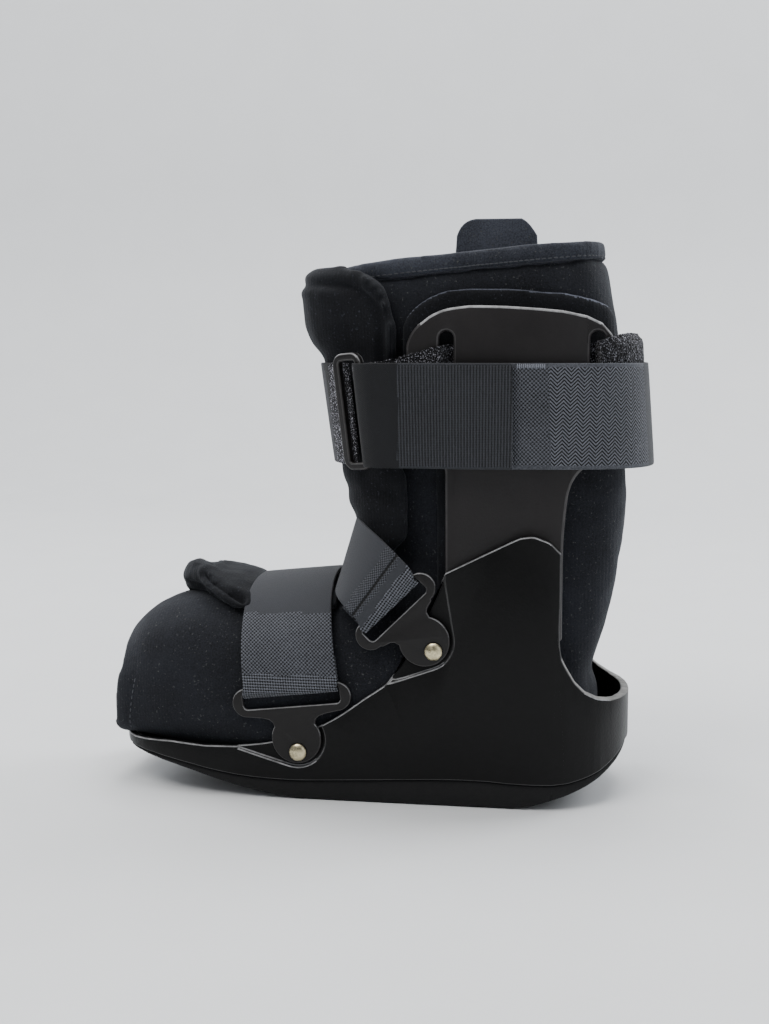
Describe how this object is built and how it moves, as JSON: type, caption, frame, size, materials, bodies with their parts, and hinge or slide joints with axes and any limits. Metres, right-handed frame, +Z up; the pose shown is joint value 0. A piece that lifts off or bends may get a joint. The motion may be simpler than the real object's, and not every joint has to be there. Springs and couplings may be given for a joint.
{
  "type": "walking boot",
  "caption": "Short orthopaedic walking boot with a rocker sole, moulded foot shell, side uprights, padded liner with shin pad and toe flap, and hook-and-loop straps",
  "frame": {"origin": "on the sole's flat underside, in the boot's middle plane, 135 mm behind the shell's toe tip", "axes": "+Z up along the leg, toe towards -X, heel towards +X, the side with the calf strap's ring towards -Y"},
  "size_m": [0.2815, 0.1232, 0.294],
  "materials": {
    "shell": "satin, faintly worn",
    "rubber": "matt",
    "upright": "satin",
    "liner": "brushed, soft",
    "fleece": "looped, speckled",
    "webbing": "woven, matt",
    "plate": "satin",
    "rivet": "polished, a little tarnished"
  },
  "bodies": {
    "root": {"outsole": "rubber", "foot_shell": "shell", "strut_near": "upright", "strut_far": "upright", "strut_pad_near": "liner", "strut_pad_far": "liner", "liner": "liner", "collar_binding": "liner", "pull_tab": "liner", "shin_pad": "liner", "toe_flap": "liner", "fleece_band": "fleece", "calf_strap": "webbing", "strap_ring": "plate", "forefoot_strap": "webbing", "ankle_strap": "webbing", "forefoot_plate_near": "plate", "forefoot_plate_far": "plate", "forefoot_rivet_near": "rivet", "forefoot_rivet_far": "rivet", "ankle_plate_near": "plate", "ankle_plate_far": "plate", "ankle_rivet_near": "rivet", "ankle_rivet_far": "rivet"}
  },
  "joints": []
}
